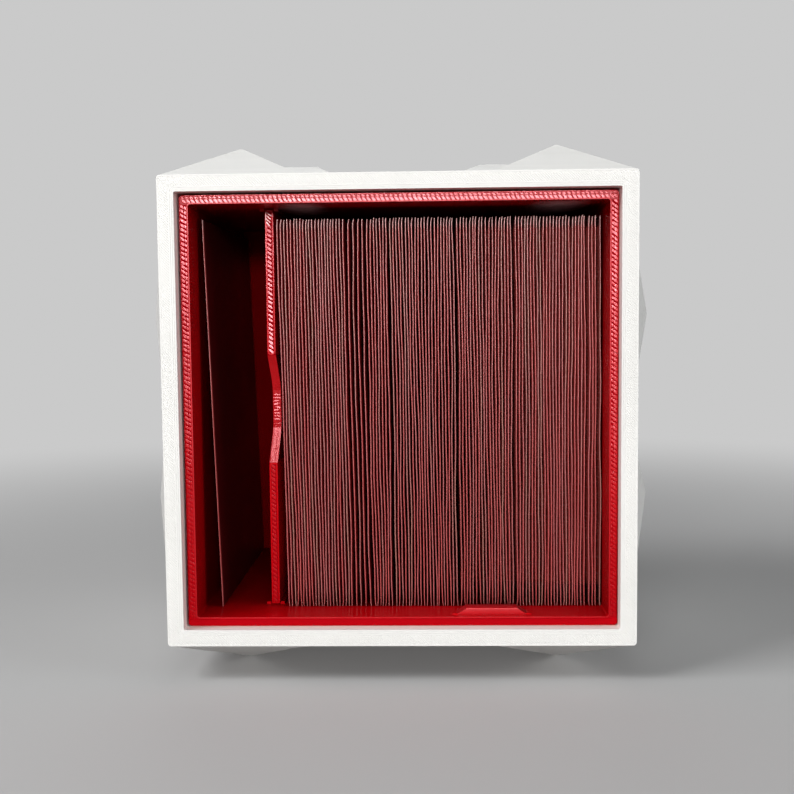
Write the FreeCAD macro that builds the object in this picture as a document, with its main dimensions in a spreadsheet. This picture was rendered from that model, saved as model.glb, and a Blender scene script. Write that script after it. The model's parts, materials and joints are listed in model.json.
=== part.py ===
"""Card box with a drawer: a faceted case, a tray that slides in it, a divider, and sleeved cards.

Millimetres.  +Z is up, -Y is the open front, +X is to the right as seen from the front.
The origin is on the surface the case stands on, under the middle of the case.
The box is sized from the inside out: cards, then tray, then case.
"""
import FreeCAD, Part
import os

import Sketcher

SHEET = "Sizes"

# Every size that can be set by itself, in millimetres.
DIMENSIONS = {
    # one sleeved card, standing on its short edge
    "card_height": 92.0,
    "card_width": 66.5,
    "card_thickness": 0.5,
    # how the cards stand in the tray
    "card_setback": 9.2,
    "card_back_gap": 0.3,
    "card_floor_gap": 0.1,
    "head_room": 2.7,
    "deck_room": 77.1,
    "deck_foot_gap": 2.25,
    "deck_top_gap": 1.0,
    "last_foot_gap": 0.25,
    "last_top_gap": 0.45,
    "loose_gap": 0.38,
    "side_room": 15.65,
    "side_foot_gap": 4.0,
    "side_top_gap": 1.05,
    # tray
    "tray_wall": 2.0,
    "tray_round": 0.8,
    "rim_setback": 3.2,
    "running_gap": 0.3,
    "tray_floor_gap": 0.1,
    "tray_side_shift": 0.2,
    "catch_base": 16.4,
    "catch_top": 12.0,
    "catch_height": 1.5,
    "catch_length": 3.5,
    "catch_setback": 2.1,
    "catch_offset": 20.8,
    # divider and the ribs that hold it upright
    "divider_thickness": 2.0,
    "divider_setback": 11.8,
    "divider_end_gap": 0.2,
    "divider_floor_gap": 0.1,
    "notch_mouth": 25.8,
    "notch_floor": 10.0,
    "notch_depth": 8.1,
    "notch_round": 6.0,
    "rib_width": 1.0,
    "rib_height": 0.6,
    "rib_gap": 0.15,
    # case
    "case_wall": 3.75,
    "case_round": 0.8,
    "push_hole_radius": 12.0,
    # facets of the top and bottom faces
    "peak_height": 8.4,
    "peak_inset": 15.9,
    "peak_setback": 20.0,
    "peak_span": 31.5,
    "peak_flat": 0.6,
    "shoulder_height": 4.0,
    "shoulder_span": 38.5,
    "shoulder_top_outer": 23.4,
    "shoulder_top_inner": 34.0,
    # facets of the left and right faces
    "flank_height": 5.7,
    "flank_peak": 21.7,
    "flank_inner": 10.5,
    "flank_outer": 32.0,
}

# The deck opens up a little after these many cards, counted from the left.
GAP_CARD_COUNTS = (22, 23, 24, 25, 26, 33, 54, 72, 95, 98)
# It stands as stacks of these many cards.
STACK_CARD_COUNTS = (22, 4, 7, 21, 18, 23, 4)
DECK_CARD_COUNT = sum(STACK_CARD_COUNTS)
CARDS_PER_NODE = 2

# Places nearer to each other than this are the same place.
SAME_PLACE = 0.01
# A coordinate nearer to an axis than this lies on the axis.
ON_AXIS = 1e-9

doc = FreeCAD.newDocument("card_box")
sheet = doc.addObject("Spreadsheet::Sheet", SHEET)
for row, (alias, value) in enumerate(DIMENSIONS.items(), start=1):
    sheet.set(f"A{row}", alias)
    sheet.set(f"B{row}", str(value))
    sheet.setAlias(f"B{row}", alias)
doc.recompute()


def size(alias):
    """Name a cell of the sheet in an expression."""
    if alias not in DIMENSIONS:
        raise KeyError(alias)
    return f"{SHEET}.{alias}"


def total(*terms):
    """Add terms up in an expression; a bare alias stands for its cell."""
    named = [size(term) if term in DIMENSIONS else f"({term})" for term in terms]
    return "(" + " + ".join(named) + ")"


def less(first, *others):
    """Take terms away from the first one in an expression."""
    return f"({total(first)} - {total(*others)})"


def half(term):
    return f"({total(term)} / 2)"


def negative(term):
    return f"(0 - {total(term)})"


# Worked out from the sizes: the tray's inside, its outside, the case's cavity, the case's outside.
INSIDE_WIDTH = total("side_room", "divider_thickness", "deck_room")
INSIDE_HEIGHT = total("card_height", "head_room")
TRAY_WIDTH = total(INSIDE_WIDTH, "tray_wall", "tray_wall")
TRAY_HEIGHT = total(INSIDE_HEIGHT, "tray_wall", "tray_wall")
TRAY_INSIDE_DEPTH = total("card_setback", "card_width", "card_back_gap")
TRAY_DEPTH = total(TRAY_INSIDE_DEPTH, "tray_wall")
CAVITY_WIDTH = total(TRAY_WIDTH, "running_gap", "running_gap")
CAVITY_HEIGHT = total(TRAY_HEIGHT, "running_gap", "running_gap")
CAVITY_DEPTH = total("rim_setback", TRAY_DEPTH, "running_gap")
CASE_WIDTH = total(CAVITY_WIDTH, "case_wall", "case_wall")
CASE_HEIGHT = total(CAVITY_HEIGHT, "case_wall", "case_wall")
CASE_DEPTH = total(CAVITY_DEPTH, "case_wall")

# Places in the frame of the box.
FRONT_Y = negative(half(CASE_DEPTH))
CASE_FOOT_Z = size("peak_height")
CASE_MIDDLE_Z = total(CASE_FOOT_Z, half(CASE_HEIGHT))
RIM_Y = total(FRONT_Y, "rim_setback")
TRAY_LEFT_X = less("tray_side_shift", half(TRAY_WIDTH))
TRAY_FOOT_Z = total(CASE_FOOT_Z, "case_wall", "tray_floor_gap")
INSIDE_LEFT_X = total(TRAY_LEFT_X, "tray_wall")
INSIDE_RIGHT_X = total(INSIDE_LEFT_X, INSIDE_WIDTH)
FLOOR_Z = total(TRAY_FOOT_Z, "tray_wall")
DIVIDER_LEFT_X = total(INSIDE_LEFT_X, "side_room")
DIVIDER_RIGHT_X = total(DIVIDER_LEFT_X, "divider_thickness")
DIVIDER_Y = total(RIM_Y, "divider_setback")
DIVIDER_DEPTH = less(TRAY_INSIDE_DEPTH, "divider_setback", "divider_end_gap")
CARD_Y = total(RIM_Y, "card_setback")


def bind(item, **expressions):
    """Bind properties of an object to expressions."""
    for name, expression in expressions.items():
        item.setExpression(name, expression)


def put(item, x, y, z):
    """Bind the place of an object to expressions."""
    item.setExpression("Placement.Base.x", x)
    item.setExpression("Placement.Base.y", y)
    item.setExpression("Placement.Base.z", z)


def make_box(name, length, width, height):
    box = doc.addObject("Part::Box", name)
    bind(box, Length=length, Width=width, Height=height)
    return box


# --- case -------------------------------------------------------------------------------------

# Each outer face: where its middle is, how a facet's own axes turn to lie on it, and whether the
# facet's X runs across the face (top and bottom) or from front to back (left and right).
CASE_FACES = {
    "top": ("0", total(CASE_FOOT_Z, CASE_HEIGHT), (1, 0, 0), 90, True),
    "bottom": ("0", CASE_FOOT_Z, (1, 0, 0), -90, True),
    "right": (half(CASE_WIDTH), CASE_MIDDLE_Z, (0, 0, 1), -90, False),
    "left": (negative(half(CASE_WIDTH)), CASE_MIDDLE_Z, (0, 0, 1), 90, False),
}


def ordered(sign, near, far):
    """Mirror a span given from the middle outwards, and keep it in rising order."""
    return (near, far) if sign > 0 else (negative(far), negative(near))


def flat_around(middle):
    """The span of a peak's small flat, around its middle."""
    return less(middle, half("peak_flat")), total(middle, half("peak_flat"))


def make_facet(name, face, across, along, top_across, top_along, height):
    """A low pyramid on one outer face; its top is a small flat or a short ridge."""
    x, z, axis, angle, runs_across = CASE_FACES[face]
    wedge = doc.addObject("Part::Wedge", name)
    turn = FreeCAD.Rotation(FreeCAD.Vector(*axis), angle)
    wedge.Placement = FreeCAD.Placement(FreeCAD.Vector(), turn)
    put(wedge, x, "0", z)
    first, second = ("X", "Z") if runs_across else ("Z", "X")
    for letter, base, top in ((first, across, top_across), (second, along, top_along)):
        wedge.setExpression(f"{letter}min", base[0])
        wedge.setExpression(f"{letter}max", base[1])
        wedge.setExpression(f"{letter}2min", top[0])
        wedge.setExpression(f"{letter}2max", top[1])
    bind(wedge, Ymin="0", Ymax=height)
    return wedge


def make_facets(face, side, end):
    """The facets of one quarter of an outer face: a peak, and beside it a low shoulder."""
    peak_along = less(half(CASE_DEPTH), "peak_setback")
    along = ordered(end, "0", half(CASE_DEPTH))
    top_along = ordered(end, *flat_around(peak_along))
    name = f"{face}_{'right' if side > 0 else 'left'}_{'rear' if end > 0 else 'front'}"
    if not CASE_FACES[face][4]:
        peak_across = size("flank_peak")
        across = ordered(side, size("flank_inner"), size("flank_outer"))
        top_across = ordered(side, *flat_around(peak_across))
        return [make_facet(f"{name}_peak", face, across, along, top_across, top_along, size("flank_height"))]
    edge = half(CASE_WIDTH)
    peak_across = less(edge, "peak_inset")
    across = ordered(side, less(edge, "peak_span"), less(edge, "case_round"))
    top_across = ordered(side, *flat_around(peak_across))
    shoulder = ordered(side, less(edge, "shoulder_span"), peak_across)
    shoulder_top = ordered(side, less(edge, "shoulder_top_inner"), less(edge, "shoulder_top_outer"))
    return [
        make_facet(f"{name}_peak", face, across, along, top_across, top_along, size("peak_height")),
        make_facet(f"{name}_shoulder", face, shoulder, along, shoulder_top, top_along,
                   size("shoulder_height")),
    ]


def edges_along_y(shape, x_reach, z_low, z_high):
    """Numbers of the long edges at the four corners of a block that runs from front to back."""
    found = []
    for number, edge in enumerate(shape.Edges, start=1):
        box = edge.BoundBox
        runs_back = box.YLength > max(box.XLength, box.ZLength)
        at_side = abs(abs(box.Center.x - x_reach[0]) - x_reach[1]) < SAME_PLACE
        at_end = min(abs(box.Center.z - z_low), abs(box.Center.z - z_high)) < SAME_PLACE
        if runs_back and at_side and at_end:
            found.append(number)
    return found


def make_case():
    """White outer case: a square sleeve with a closed back, facets outside and a push hole behind."""
    block = make_box("case_block", CASE_WIDTH, CASE_DEPTH, CASE_HEIGHT)
    put(block, negative(half(CASE_WIDTH)), FRONT_Y, CASE_FOOT_Z)
    doc.recompute()
    rounded = doc.addObject("Part::Fillet", "case_rounded")
    rounded.Base = block
    bounds = block.Shape.BoundBox
    corners = edges_along_y(block.Shape, (0, bounds.XMax), bounds.ZMin, bounds.ZMax)
    radius = DIMENSIONS["case_round"]
    rounded.Edges = [(number, radius, radius) for number in corners]

    facets = []
    for face in CASE_FACES:
        for side in (-1, 1):
            for end in (-1, 1):
                facets += make_facets(face, side, end)
    outside = doc.addObject("Part::MultiFuse", "case_outside")
    outside.Shapes = [rounded] + facets

    cavity = make_box("case_cavity", CAVITY_WIDTH, CAVITY_DEPTH, CAVITY_HEIGHT)
    put(cavity, negative(half(CAVITY_WIDTH)), FRONT_Y, total(CASE_FOOT_Z, "case_wall"))
    hole = doc.addObject("Part::Cylinder", "case_push_hole")
    bind(hole, Radius=size("push_hole_radius"), Height=CASE_DEPTH)
    hole.Placement = FreeCAD.Placement(FreeCAD.Vector(), FreeCAD.Rotation(FreeCAD.Vector(1, 0, 0), -90))
    put(hole, "0", "0", CASE_MIDDLE_Z)
    hollow = doc.addObject("Part::MultiFuse", "case_hollow")
    hollow.Shapes = [cavity, hole]

    case = doc.addObject("Part::Cut", "case")
    case.Base = outside
    case.Tool = hollow
    return case


# --- tray and divider ---------------------------------------------------------------------------

def plane_of(body, role):
    return next(item for item in body.Origin.OriginFeatures if item.Role == role)


def outline_sketch(body, name, role, points, corner):
    """A closed outline of straight lines, fully tied to its first point, which lies at a corner.

    Each point is a pair of expressions, never negative, measured from the first point.
    The corner is given in the axes of the plane: across, up and along its normal.
    """
    sketch = body.newObject("Sketcher::SketchObject", name)
    sketch.AttachmentSupport = [(plane_of(body, role), "")]
    sketch.MapMode = "FlatFace"
    for letter, expression in zip("xyz", corner):
        sketch.setExpression(f"AttachmentOffset.Base.{letter}", expression)
    values = [[evaluate(expression) for expression in point] for point in points]
    for index, start in enumerate(values):
        stop = values[(index + 1) % len(values)]
        line = Part.LineSegment(FreeCAD.Vector(*start, 0), FreeCAD.Vector(*stop, 0))
        sketch.addGeometry(line, False)
    for index in range(len(values)):
        after = (index + 1) % len(values)
        sketch.addConstraint(Sketcher.Constraint("Coincident", index, 2, after, 1))
    sketch.addConstraint(Sketcher.Constraint("Coincident", 0, 1, -1, 1))
    for index in range(1, len(points)):
        for axis, kind in enumerate(("DistanceX", "DistanceY")):
            tie_point(sketch, index, axis, kind, points, values)
    return sketch


def tie_point(sketch, index, axis, kind, points, values):
    """Tie one coordinate of a sketch point to the origin, or to an axis where it is zero."""
    value = values[index][axis]
    if abs(value) < ON_AXIS:
        line = -2 if axis == 0 else -1
        sketch.addConstraint(Sketcher.Constraint("PointOnObject", index, 1, line))
        return
    number = sketch.addConstraint(Sketcher.Constraint(kind, -1, 1, index, 1, value))
    label = f"{'across' if axis == 0 else 'up'}_{index}"
    sketch.renameConstraint(number, label)
    sketch.setExpression(f"Constraints.{label}", points[index][axis])


def evaluate(expression):
    """Value of an expression at the sheet's present sizes."""
    return float(sheet.evalExpression(expression))


def pad(body, name, sketch, length, reverse):
    feature = body.newObject("PartDesign::Pad", name)
    feature.Profile = sketch
    feature.Reversed = reverse
    feature.setExpression("Length", length)
    return feature


def rectangle(width, height):
    return [("0", "0"), (width, "0"), (width, height), ("0", height)]


def make_tray():
    """Red tray, the drawer of the box: open at the front, with a low catch and the divider's ribs."""
    body = doc.addObject("PartDesign::Body", "drawer")
    rim_offset = negative(RIM_Y)
    outer = outline_sketch(body, "tray_outline", "XZ_Plane", rectangle(TRAY_WIDTH, TRAY_HEIGHT),
                           (TRAY_LEFT_X, TRAY_FOOT_Z, rim_offset))
    block = pad(body, "tray_block", outer, TRAY_DEPTH, True)
    doc.recompute()

    bounds = block.Shape.BoundBox
    corners = edges_along_y(block.Shape, (bounds.Center.x, bounds.XLength / 2), bounds.ZMin, bounds.ZMax)
    rounded = body.newObject("PartDesign::Fillet", "tray_rounded")
    rounded.Base = (block, [f"Edge{number}" for number in corners])
    rounded.setExpression("Radius", size("tray_round"))

    inner = outline_sketch(body, "tray_hollow_outline", "XZ_Plane", rectangle(INSIDE_WIDTH, INSIDE_HEIGHT),
                           (INSIDE_LEFT_X, FLOOR_Z, rim_offset))
    hollow = body.newObject("PartDesign::Pocket", "tray_hollow")
    hollow.Profile = inner
    hollow.setExpression("Length", TRAY_INSIDE_DEPTH)
    doc.recompute()

    slope = half(less("catch_base", "catch_top"))
    catch_left = less(total("tray_side_shift", "catch_offset"), half("catch_base"))
    catch = outline_sketch(
        body, "catch_outline", "XZ_Plane",
        [("0", "0"), (size("catch_base"), "0"),
         (less("catch_base", slope), size("catch_height")), (slope, size("catch_height"))],
        (catch_left, FLOOR_Z, negative(total(RIM_Y, "catch_setback"))))
    pad(body, "catch", catch, size("catch_length"), True)

    ceiling_rib_z = less(total(FLOOR_Z, INSIDE_HEIGHT), "rib_height")
    left_rib_x = less(DIVIDER_LEFT_X, "rib_gap", "rib_width")
    right_rib_x = total(DIVIDER_RIGHT_X, "rib_gap")
    for name, x, z in (("left_floor_rib", left_rib_x, FLOOR_Z), ("right_floor_rib", right_rib_x, FLOOR_Z),
                       ("left_ceiling_rib", left_rib_x, ceiling_rib_z),
                       ("right_ceiling_rib", right_rib_x, ceiling_rib_z)):
        rib = outline_sketch(body, f"{name}_outline", "XZ_Plane",
                             rectangle(size("rib_width"), size("rib_height")), (x, z, negative(DIVIDER_Y)))
        pad(body, name, rib, less(TRAY_INSIDE_DEPTH, "divider_setback"), True)
    return body


def make_divider():
    """Red divider: a flat panel whose front edge dips back at mid-height, as a finger notch."""
    height = less(INSIDE_HEIGHT, "divider_floor_gap", "divider_end_gap")
    notch_middle = half(height)
    body = doc.addObject("PartDesign::Body", "divider")
    outline = outline_sketch(
        body, "divider_outline", "YZ_Plane",
        [("0", "0"), (DIVIDER_DEPTH, "0"), (DIVIDER_DEPTH, height), ("0", height),
         ("0", total(notch_middle, half("notch_mouth"))),
         (size("notch_depth"), total(notch_middle, half("notch_floor"))),
         (size("notch_depth"), less(notch_middle, half("notch_floor"))),
         ("0", less(notch_middle, half("notch_mouth")))],
        (DIVIDER_Y, total(FLOOR_Z, "divider_floor_gap"), DIVIDER_LEFT_X))
    panel = pad(body, "divider_panel", outline, size("divider_thickness"), False)
    doc.recompute()
    notch_y = evaluate(total(DIVIDER_Y, "notch_depth"))
    corners = [number for number, edge in enumerate(panel.Shape.Edges, start=1)
               if edge.BoundBox.XLength > edge.BoundBox.ZLength
               and abs(edge.BoundBox.Center.y - notch_y) < SAME_PLACE]
    rounded = body.newObject("PartDesign::Fillet", "divider_notch_round")
    rounded.Base = (panel, [f"Edge{number}" for number in corners])
    rounded.setExpression("Radius", size("notch_round"))
    return body


# --- cards --------------------------------------------------------------------------------------

def make_card(name, foot_x, top_x):
    """One sleeved card, leaning to the left by the distance from its foot to its top."""
    card = make_box(name, size("card_thickness"), size("card_width"), size("card_height"))
    lean_axis = FreeCAD.Rotation(FreeCAD.Vector(0, -1, 0), 1)
    card.Placement = FreeCAD.Placement(FreeCAD.Vector(), lean_axis)
    put(card, foot_x, CARD_Y, total(FLOOR_Z, "card_floor_gap"))
    card.setExpression("Placement.Rotation.Angle", f"atan(({foot_x} - {top_x}) / {size('card_height')})")
    return card


def deck_place(number, first, last):
    """Left face of a deck card, counted from the left, between the first card and the last."""
    widened = sum(1 for count in GAP_CARD_COUNTS if count < number)
    pitch = f"(({last} - {first} - {len(GAP_CARD_COUNTS)} * {size('loose_gap')}) / {DECK_CARD_COUNT - 1})"
    return f"({first} + {number - 1} * {pitch} + {widened} * {size('loose_gap')})"


def make_deck():
    """The deck, as pairs of cards; a stack of an odd number ends in a single card."""
    first_foot = total(DIVIDER_RIGHT_X, "deck_foot_gap")
    first_top = total(DIVIDER_RIGHT_X, "deck_top_gap")
    last_foot = less(INSIDE_RIGHT_X, "last_foot_gap", "card_thickness")
    last_top = less(INSIDE_RIGHT_X, "last_top_gap", "card_thickness")
    nodes = []
    start = 1
    for count in STACK_CARD_COUNTS:
        stop = start + count
        for first in range(start, stop, CARDS_PER_NODE):
            numbers = range(first, min(first + CARDS_PER_NODE, stop))
            cards = [make_card(f"card_{number:02d}",
                               deck_place(number, first_foot, last_foot),
                               deck_place(number, first_top, last_top)) for number in numbers]
            group = doc.addObject("Part::Compound", "cards_" + "_".join(f"{n:02d}" for n in numbers))
            group.Links = cards
            nodes.append(group)
        start = stop
    return nodes


def make_side_card():
    """The one card that stands by itself in the side compartment."""
    foot_x = total(INSIDE_LEFT_X, "side_foot_gap")
    top_x = total(INSIDE_LEFT_X, "side_top_gap")
    return make_card("side_card", foot_x, top_x)


sub_parts = [make_case(), make_tray(), make_divider(), make_side_card()] + make_deck()
for sub_part in sub_parts:
    sub_part.Label = sub_part.Name
doc.recompute()

for item in doc.Objects:
    if "Invalid" in item.State or "Error" in item.State:
        raise RuntimeError(f"{item.Label} did not recompute: {item.State}")
for sub_part in sub_parts:
    if sub_part.Shape.isNull() or not sub_part.Shape.isValid():
        raise RuntimeError(f"{sub_part.Label} has no valid shape")

os.makedirs("parts", exist_ok=True)
for sub_part in sub_parts:
    sub_part.Shape.exportStep(os.path.join("parts", sub_part.Label + ".step"))
    print(sub_part.Label, len(sub_part.Shape.Solids), round(sub_part.Shape.Volume, 2))
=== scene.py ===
"""Looks of the card box: a white printed case, a red printed tray and divider, and sleeved cards.

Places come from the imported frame.  Sizes are in millimetres, which MM turns into metres.  +Z is up,
-Y is the open front, and +X is to the right seen from the front.
"""
import json
import math
import random
from collections import namedtuple

import bmesh
import bpy
from mathutils import Matrix, Vector

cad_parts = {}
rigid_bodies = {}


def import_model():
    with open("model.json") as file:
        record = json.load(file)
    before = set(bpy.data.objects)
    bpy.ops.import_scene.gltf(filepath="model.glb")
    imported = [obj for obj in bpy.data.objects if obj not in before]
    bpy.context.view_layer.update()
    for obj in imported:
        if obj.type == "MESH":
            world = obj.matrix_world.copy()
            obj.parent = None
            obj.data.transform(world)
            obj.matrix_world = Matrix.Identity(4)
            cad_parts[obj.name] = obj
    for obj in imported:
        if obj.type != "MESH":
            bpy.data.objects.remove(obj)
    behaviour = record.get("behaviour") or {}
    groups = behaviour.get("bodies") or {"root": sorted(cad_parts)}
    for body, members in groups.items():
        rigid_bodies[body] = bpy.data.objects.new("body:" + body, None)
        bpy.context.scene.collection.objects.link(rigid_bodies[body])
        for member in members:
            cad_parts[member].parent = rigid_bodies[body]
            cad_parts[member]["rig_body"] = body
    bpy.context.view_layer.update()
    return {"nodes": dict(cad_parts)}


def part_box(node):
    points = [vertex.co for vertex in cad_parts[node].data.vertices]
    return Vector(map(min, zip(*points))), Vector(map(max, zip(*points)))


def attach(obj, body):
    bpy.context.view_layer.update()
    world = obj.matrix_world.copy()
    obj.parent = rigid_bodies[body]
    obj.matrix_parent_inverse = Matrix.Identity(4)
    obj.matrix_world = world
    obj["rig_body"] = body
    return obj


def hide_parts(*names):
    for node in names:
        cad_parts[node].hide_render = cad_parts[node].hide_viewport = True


MM = 0.001

# Places that lie closer together than this count as one.
NEAR = 0.02

# Printed plastic: the width of a line, and the height of a layer.
BEAD_WIDTH = 0.42
LAYER = 0.2

# The section of a line: place across it, in parts of its width, and how far back it lies there.
BEAD_CROWN = ((-0.5, 0.09), (-0.46, 0.03), (-0.4, 0.006), (-0.35, 0.001), (-0.28, 0.0), (0.28, 0.0),
              (0.35, 0.001), (0.4, 0.006), (0.46, 0.03), (0.5, 0.09))
# The end of a stroke, from its tip inwards: place along it and size, in parts of its width, and drop.
STROKE_END = ((0.45, 0.5, 0.05), (0.25, 0.86, 0.004), (0.05, 1.0, 0.0))

# The last layer on the case's front: its depth, the lines along its outer and its inner rim, how much
# their corners change with each step inwards or outwards, and the slanted lines between them.
SKIN_DEPTH = 0.12
OUTER_LINES = 1
INNER_LINES = 3
LINE_ROUNDING = 0.7
HATCH_WIDTH = 0.36
HATCH_SINK = 0.015

# Walls and round edges, which the nodes' boxes don't tell.
CASE_WALL = 3.75
CASE_ROUND = 0.8
CASE_BACK_ROUND = 0.35
CAVITY_ROUND = 0.45
TRAY_WALL = 2.0
TRAY_ROUND = 0.8
TRAY_BACK_ROUND = 0.3
TRAY_INNER_ROUND = 0.5

# Painted reflected light, the red tray's light on the case's cavity: where it sets in and is full
# behind the front, and the length over which it turns to its far colour.
GLOW_START = 0.3
GLOW_FULL = 3.2
GLOW_FADE = 1.5

# The last layer on the tray's rim: an outer and an inner line, which lie a little back, and two broad
# lines along its bottom, at these parts of its height.  LINE_SINK is also for the divider's line.
RIM_SKIN_DEPTH = 0.16
OUTER_LINE = 0.18
OUTER_LINE_SINK = 0.08
INNER_LINE = 0.38
INNER_LINE_SINK = 0.03
BOTTOM_LINES = (0.36, 0.64)
LINE_SINK = 0.02

# The slanted knots of plastic that the printer leaves where it turns, between the rim's lines and on
# the divider's front edge.  A knot's edge is given by how far in from its outline and how far back it
# lies, and its sizes vary between these parts.
KNOT_PITCH = 1.04
KNOT_SLANT = 32
TOP_SLANT = 55
KNOT_CUT = 0.35
KNOT_EDGE = ((0.0, 0.05), (0.02, 0.03), (0.04, 0.008), (0.07, 0.001), (0.10, 0.0))
KNOT_ACROSS = (0.92, 1.05)
KNOT_ALONG = (0.9, 1.06)

# Each row of knots: how far inwards it lies from the band's middle (on the divider, to the right),
# its knots' reach across and along the band, how far it is moved along, in pitches, and its setback.
LEFT_KNOTS = ((-0.38, 0.92, 0.76, 0.0, 0.0), (0.36, 0.54, 0.78, 0.35, 0.015))
RIGHT_KNOTS = ((-0.36, 0.98, 0.88, 0.0, 0.0), (0.37, 0.52, 0.72, 0.5, 0.02))
TOP_KNOTS = ((-0.46, 0.60, 0.78, 0.0, 0.0), (0.32, 0.94, 0.86, 0.25, 0.0))
DIVIDER_KNOTS = ((-0.06, 1.12, 0.74, 0.0, 0.0),)

# How much the faces of the lowest knots lean back, in millimetres for each millimetre upwards.
LEFT_TILT = 0.085
RIGHT_TILT = 0.12
DIVIDER_TILT = 0.075

# The divider's front edge ends at its top in pale strokes, a painted highlight, over this length:
# slanted ones, which start below the top, and one down its left side between two distances from the top.
PALE_END = 3.4
WHITE_STROKES = 4
WHITE_STROKE = 0.32
WHITE_START = 0.62
WHITE_PITCH = 0.76
WHITE_DROP = 0.85
WHITE_SIDE = (0.7, 2.5)

# The divider's finger notch, and the steps that its layers leave: a riser's reach, a point in it as a
# reach and a part of the layer, and the dip between the two lines that a step is made of.
NOTCH_MOUTH = 25.8
NOTCH_FLOOR = 10.0
NOTCH_DEPTH = 8.1
NOTCH_ROUND = 6.0
STEP_LEAN = 0.15
RISER = 0.07
RISER_BEND = (0.03, 0.45)
STEP_DIP = 0.03
STEP_POINTS = 6

# The short lines across the notch's floor, which reach this far up and down from its middle.
RUNGS_REACH = NOTCH_FLOOR / 2 - 1.6
RUNG_PITCH = 0.72
RUNG_LEAN = 0.125
RUNG_CROOK = 0.55
RUNG_SWAY = 0.06
RUNG_ACROSS = (0.80, 0.90)
RUNG_ALONG = (0.28, 0.34)

# Low catch on the tray's floor, with a flat blister at each foot, and the ribs beside the divider.
CATCH_BASE = 16.4
CATCH_TOP = 12.0
CATCH_HEIGHT = 1.5
CATCH_LENGTH = 3.5
CATCH_SETBACK = 2.1
CATCH_OFFSET = 20.8
CATCH_EDGE = 0.2
BLISTER_REACH = (1.1, 0.35, 0.22)
BLISTER_SETBACK = 0.3
BLISTER_SIDES = 12
RIB_WIDTH = 1.0
RIB_HEIGHT = 0.6
RIB_GAP = 0.15
RIB_EDGE = 0.12
# How far catch and ribs are sunk into the walls that they stand on.
SUNK = 0.2

# One sleeve: how far the card inside ends below its mouth and above its foot, how full the one in
# the side compartment is, and by how much sleeves differ in height and in how far they stick out.
SLEEVE_MOUTH = 2.0
SLEEVE_FOOT = 4.0
SIDE_PLUMP = 0.7
SLEEVE_SPREAD = 0.35
# The lining that is seen in a sleeve's open mouth: how full it is, its thickness and its setback.
LINING_FULL = 0.6
LINING_SHARE = 0.45
LINING_INSET = 1.2

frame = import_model()

# A corner of a box that, unlike a Vector, keeps its numbers unrounded.
Corner = namedtuple("Corner", "x y z")


def node_box(name):
    """Lowest and highest corner of a CAD node, in millimetres."""
    low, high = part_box(name)
    return low / MM, high / MM


def hollow(low, high, wall):
    """Lowest and highest corner of the space in a box that is open at its front."""
    return (Vector((low.x + wall, low.y, low.z + wall)),
            Vector((high.x - wall, high.y - wall, high.z - wall)))


def new_object(name, data):
    item = bpy.data.objects.new(name, data)
    bpy.context.scene.collection.objects.link(item)
    return item


# --- meshes ---

class Shape:
    """Points and faces gathered in millimetres, then made into one Blender mesh."""

    def __init__(self):
        self.points = []
        self.faces = []
        self.kinds = []

    def add_rings(self, rings, kind=0, kinds=None, caps=None, closed=False):
        """Join rings of equally many points into a closed tube.

        kinds gives a material for each side of each span, and caps for the two ends.
        """
        count = len(rings[0])
        start = len(self.points)
        for ring in rings:
            self.points += [tuple(point) for point in ring]
        spans = len(rings) if closed else len(rings) - 1
        for level in range(spans):
            low = start + level * count
            high = start + (level + 1) % len(rings) * count
            for side in range(count):
                after = (side + 1) % count
                self.faces.append((low + side, low + after, high + after, high + side))
                self.kinds.append(kinds[level][side] if kinds else kind)
        if not closed:
            last = start + (len(rings) - 1) * count
            self.faces.append(tuple(start + side for side in reversed(range(count))))
            self.faces.append(tuple(last + side for side in range(count)))
            self.kinds += list(caps or (kind, kind))

    def make(self, name, materials, smooth_degrees=32):
        mesh = bpy.data.meshes.new(name)
        mesh.from_pydata([tuple(value * MM for value in point) for point in self.points], [], self.faces)
        for material in materials:
            mesh.materials.append(material)
        mesh.polygons.foreach_set("material_index", self.kinds)
        return add_object(name, mesh, smooth_degrees)


def add_object(name, mesh, smooth_degrees):
    """Put a mesh into the scene, with its faces turned outwards and its flat edges kept crisp."""
    shell = bmesh.new()
    shell.from_mesh(mesh)
    bmesh.ops.recalc_face_normals(shell, faces=shell.faces)
    shell.to_mesh(mesh)
    shell.free()
    mesh.polygons.foreach_set("use_smooth", [True] * len(mesh.polygons))
    mesh.set_sharp_from_angle(angle=math.radians(smooth_degrees))
    mesh.update()
    return new_object(name, mesh)


def rounded_outline(low, high, radius, inset=0.0, steps=5):
    """The front of a box with round corners, inset on all sides, as points from the lower right."""
    low_x, low_z = low.x + inset + radius, low.z + inset + radius
    high_x, high_z = high.x - inset - radius, high.z - inset - radius
    corners = ((high_x, low_z, -90), (high_x, high_z, 0), (low_x, high_z, 90), (low_x, low_z, 180))
    points = []
    for x, z, start in corners:
        for step in range(steps + 1):
            angle = math.radians(start + 90 * step / steps)
            points.append((x + radius * math.cos(angle), z + radius * math.sin(angle)))
    return points


def at_depth(outline, y):
    return [(x, y, z) for x, z in outline]


def crown_ring(place, across, width, crest_y, depth, share=1.0, sink=0.0):
    """The section of a line of plastic: a flat crown at crest_y, and sides that go down by depth."""
    section = [(side, crest_y + sink + drop) for side, drop in BEAD_CROWN]
    section += [(0.5, crest_y + depth), (-0.5, crest_y + depth)]
    return [(place.x + across.x * side * width * share, y,
             place.y + across.y * side * width * share) for side, y in section]


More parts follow.
